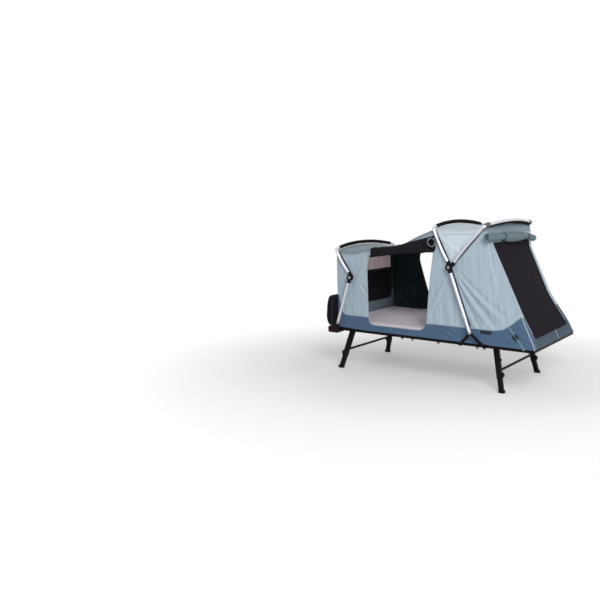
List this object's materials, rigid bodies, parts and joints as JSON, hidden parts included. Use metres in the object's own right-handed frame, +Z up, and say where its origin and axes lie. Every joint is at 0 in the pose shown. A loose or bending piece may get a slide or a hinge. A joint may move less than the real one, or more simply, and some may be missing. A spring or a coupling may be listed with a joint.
{
  "type": "hitch tent",
  "caption": "Two-person tent on a raised platform with folding hoops, door and window rolls, folding telescopic legs and a tow-hitch shank.",
  "frame": {"origin": "on the ground under the middle of the object's length, on the tent's centre line", "axes": "+Z up; +X along the tent from the hitch end to the outer end; the front door faces -Y"},
  "size_m": [2.585, 1.4588, 1.7603],
  "materials": {
    "silver_pole": "satin",
    "black_frame": "satin",
    "black_plastic": "matte",
    "bright_pin": "satin",
    "wall_fabric": "matte",
    "skirt_fabric": "matte",
    "hoop_sleeve": "matte",
    "mesh_fabric": "matte",
    "roll_fabric": "matte",
    "dark_lining": "matte",
    "beige_fabric": "matte",
    "mattress_fabric": "matte",
    "webbing": "matte",
    "floor_board": "matte",
    "cover_fabric": "matte",
    "red_lamp": "gloss"
  },
  "bodies": {
    "platform": {"front_rail": "black_frame", "back_rail": "black_frame", "hitch_end_rail": "black_frame", "outer_end_rail": "black_frame", "middle_cross_beam": "black_frame", "hitch_cross_beam": "black_frame", "outer_cross_beam": "black_frame", "receiver_tube": "black_frame", "hitch_pole_bracket_front": "black_frame", "hitch_pole_bracket_back": "black_frame", "outer_pole_bracket_front": "black_frame", "outer_pole_bracket_back": "black_frame", "front_wall": "wall_fabric", "back_wall": "wall_fabric", "hitch_wall": "wall_fabric", "outer_wall": "wall_fabric", "roof": "wall_fabric", "skirt": "skirt_fabric", "hitch_window": "mesh_fabric", "outer_window": "mesh_fabric", "outer_window_roll": "roll_fabric", "front_door_roll": "dark_lining", "back_door_curtain": "dark_lining", "hitch_window_curtain": "beige_fabric", "mattress": "mattress_fabric", "front_window_tie": "webbing", "back_window_tie": "webbing", "front_corner_strap": "webbing", "back_corner_strap": "webbing", "floor_panel": "floor_board", "travel_cover": "cover_fabric", "front_lamp": "red_lamp", "back_lamp": "red_lamp"},
    "outer_poles": {"outer_pole_front": "silver_pole", "outer_pole_back": "silver_pole", "outer_hub_front": "black_plastic", "outer_hub_back": "black_plastic"},
    "middle_hoop_body": {"middle_hoop": "silver_pole", "middle_hoop_sleeve": "hoop_sleeve"},
    "outer_hoop_body": {"outer_hoop": "silver_pole", "outer_hoop_sleeve": "hoop_sleeve"},
    "hitch_poles": {"hitch_pole_front": "silver_pole", "hitch_pole_back": "silver_pole", "hitch_hub_front": "black_plastic", "hitch_hub_back": "black_plastic"},
    "hitch_hoop_body": {"hitch_hoop": "silver_pole", "hitch_hoop_sleeve": "hoop_sleeve"},
    "hitch_legs": {"hitch_leg_frame": "black_frame"},
    "outer_legs": {"outer_leg_frame": "black_frame"},
    "shank": {"hitch_shank": "black_frame"},
    "pin": {"hitch_pin": "bright_pin"},
    "hitch_front_inner_leg": {"hitch_front_foot": "black_frame"},
    "hitch_front_clamp": {"hitch_front_knob": "black_plastic"},
    "hitch_back_inner_leg": {"hitch_back_foot": "black_frame"},
    "hitch_back_clamp": {"hitch_back_knob": "black_plastic"},
    "outer_front_inner_leg": {"outer_front_foot": "black_frame"},
    "outer_front_clamp": {"outer_front_knob": "black_plastic"},
    "outer_back_inner_leg": {"outer_back_foot": "black_frame"},
    "outer_back_clamp": {"outer_back_knob": "black_plastic"}
  },
  "joints": [
    {"name": "canopy_fold", "type": "hinge", "parent": "platform", "child": "outer_poles", "pos_m": [0.6475, 0, 0.606], "axis": [0, -1, 0], "range_deg": [0, 66.78], "deforming": ["roof", "front_wall", "back_wall", "hitch_wall", "outer_wall", "hitch_window", "outer_window", "skirt", "front_door_roll", "outer_window_roll", "front_window_tie", "back_window_tie", "back_door_curtain", "hitch_window_curtain", "front_corner_strap", "back_corner_strap"]},
    {"name": "middle_hoop_turn", "type": "hinge", "parent": "outer_poles", "child": "middle_hoop_body", "pos_m": [0.3975, 0, 1.267], "axis": [0, -1, 0], "range_deg": [-4.86, 0]},
    {"name": "outer_hoop_turn", "type": "hinge", "parent": "outer_poles", "child": "outer_hoop_body", "pos_m": [0.3975, 0, 1.267], "axis": [0, -1, 0], "range_deg": [-114.87, 0]},
    {"name": "hitch_poles_turn", "type": "hinge", "parent": "platform", "child": "hitch_poles", "pos_m": [-0.9525, 0, 0.554], "axis": [0, -1, 0], "range_deg": [-73.56, 0]},
    {"name": "hitch_hoop_turn", "type": "hinge", "parent": "hitch_poles", "child": "hitch_hoop_body", "pos_m": [-0.7945, 0, 1.089], "axis": [0, -1, 0], "range_deg": [0, 115.47]},
    {"name": "hitch_legs_fold", "type": "hinge", "parent": "platform", "child": "hitch_legs", "pos_m": [-0.897, 0, 0.43], "axis": [0, -1, 0], "range_deg": [0, 103]},
    {"name": "outer_legs_fold", "type": "hinge", "parent": "platform", "child": "outer_legs", "pos_m": [0.8435, 0, 0.43], "axis": [0, 1, 0], "range_deg": [0, 103.3]},
    {"name": "hitch_front_leg_length", "type": "slide", "parent": "hitch_legs", "child": "hitch_front_inner_leg", "axis": [-0.2239, -0.1783, -0.9582], "range_m": [-0.1, 0.1]},
    {"name": "hitch_front_knob_turn", "type": "hinge", "parent": "hitch_legs", "child": "hitch_front_clamp", "pos_m": [-0.9841, -0.51687, 0.17805], "axis": [-0.9746, 0.041, 0.2202], "range_deg": [0, 360]},
    {"name": "hitch_back_leg_length", "type": "slide", "parent": "hitch_legs", "child": "hitch_back_inner_leg", "axis": [-0.2239, 0.1783, -0.9582], "range_m": [-0.1, 0.1]},
    {"name": "hitch_back_knob_turn", "type": "hinge", "parent": "hitch_legs", "child": "hitch_back_clamp", "pos_m": [-0.9841, 0.51687, 0.17805], "axis": [-0.9746, -0.041, 0.2202], "range_deg": [0, 360]},
    {"name": "outer_front_leg_length", "type": "slide", "parent": "outer_legs", "child": "outer_front_inner_leg", "axis": [0.2292, -0.178, -0.957], "range_m": [-0.1, 0.1]},
    {"name": "outer_front_knob_turn", "type": "hinge", "parent": "outer_legs", "child": "outer_front_clamp", "pos_m": [0.93207, -0.51685, 0.1782], "axis": [0.9734, 0.0419, 0.2254], "range_deg": [0, 360]},
    {"name": "outer_back_leg_length", "type": "slide", "parent": "outer_legs", "child": "outer_back_inner_leg", "axis": [0.2292, 0.178, -0.957], "range_m": [-0.1, 0.1]},
    {"name": "outer_back_knob_turn", "type": "hinge", "parent": "outer_legs", "child": "outer_back_clamp", "pos_m": [0.93207, 0.51685, 0.1782], "axis": [0.9734, -0.0419, 0.2254], "range_deg": [0, 360]},
    {"name": "shank_slide", "type": "slide", "parent": "platform", "child": "shank", "axis": [1, 0, 0], "range_m": [0, 0.15]},
    {"name": "hitch_pin_pull", "type": "slide", "parent": "shank", "child": "pin", "axis": [0, -1, 0], "range_m": [0, 0.1]}
  ],
  "couplings": [
    {"joint": "middle_hoop_turn", "follows": "canopy_fold", "ratio": -0.072657},
    {"joint": "outer_hoop_turn", "follows": "canopy_fold", "ratio": -1.7199},
    {"joint": "hitch_poles_turn", "follows": "canopy_fold", "ratio": -1.1013},
    {"joint": "hitch_hoop_turn", "follows": "canopy_fold", "ratio": 1.7289}
  ]
}
